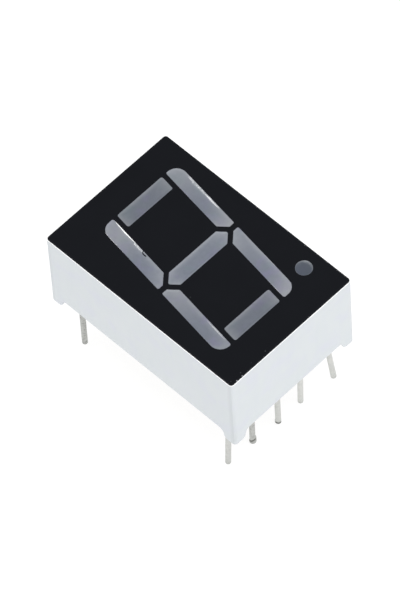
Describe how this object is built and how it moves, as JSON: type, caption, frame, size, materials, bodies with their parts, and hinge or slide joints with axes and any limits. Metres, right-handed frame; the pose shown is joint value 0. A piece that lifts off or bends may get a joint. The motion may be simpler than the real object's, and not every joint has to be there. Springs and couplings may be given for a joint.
{
  "type": "seven segment display",
  "caption": "Seven segment LED display: black printed face with slanted bar windows and a decimal point, white moulded housing on corner feet, and rows of round solder pins.",
  "frame": {"origin": "middle of the pin grid on the seating plane, where the corner feet meet the host board", "axes": "+Z out of the viewing face, +Y up the digit, +X across it to the right, towards the decimal point"},
  "size_m": [0.0126, 0.019, 0.014],
  "materials": {
    "white_moulding": "fine satin moulded plastic",
    "black_print": "satin black printing ink",
    "milky_epoxy": "milky diffusing epoxy, smooth",
    "board_laminate": "glass fibre laminate",
    "copper_foil": "etched copper foil",
    "silver_adhesive": "matt silver-filled adhesive",
    "led_crystal": "sawn crystal",
    "gold_wire": "drawn gold wire",
    "solder": "dull reflowed solder",
    "tinned_lead": "hot tinned, satin"
  },
  "bodies": {
    "root": {"housing": "white_moulding", "printed_face": "black_print", "epoxy_casting": "milky_epoxy", "circuit_board": "board_laminate", "copper_a": "copper_foil", "copper_b": "copper_foil", "copper_c": "copper_foil", "copper_d": "copper_foil", "copper_e": "copper_foil", "copper_f": "copper_foil", "copper_g": "copper_foil", "copper_dp": "copper_foil", "copper_common": "copper_foil", "chip_adhesive_a": "silver_adhesive", "chip_adhesive_b": "silver_adhesive", "chip_adhesive_c": "silver_adhesive", "chip_adhesive_d": "silver_adhesive", "chip_adhesive_e": "silver_adhesive", "chip_adhesive_f": "silver_adhesive", "chip_adhesive_g": "silver_adhesive", "chip_adhesive_dp": "silver_adhesive", "led_chip_a": "led_crystal", "led_chip_b": "led_crystal", "led_chip_c": "led_crystal", "led_chip_d": "led_crystal", "led_chip_e": "led_crystal", "led_chip_f": "led_crystal", "led_chip_g": "led_crystal", "led_chip_dp": "led_crystal", "bond_wire_a": "gold_wire", "bond_wire_b": "gold_wire", "bond_wire_c": "gold_wire", "bond_wire_d": "gold_wire", "bond_wire_e": "gold_wire", "bond_wire_f": "gold_wire", "bond_wire_g": "gold_wire", "bond_wire_dp": "gold_wire", "solder_joint_1": "solder", "solder_joint_2": "solder", "solder_joint_3": "solder", "solder_joint_4": "solder", "solder_joint_5": "solder", "solder_joint_6": "solder", "solder_joint_7": "solder", "solder_joint_8": "solder", "solder_joint_9": "solder", "solder_joint_10": "solder", "pin_1": "tinned_lead", "pin_2": "tinned_lead", "pin_3": "tinned_lead", "pin_4": "tinned_lead", "pin_5": "tinned_lead", "pin_6": "tinned_lead", "pin_7": "tinned_lead", "pin_8": "tinned_lead", "pin_9": "tinned_lead", "pin_10": "tinned_lead"}
  },
  "joints": []
}
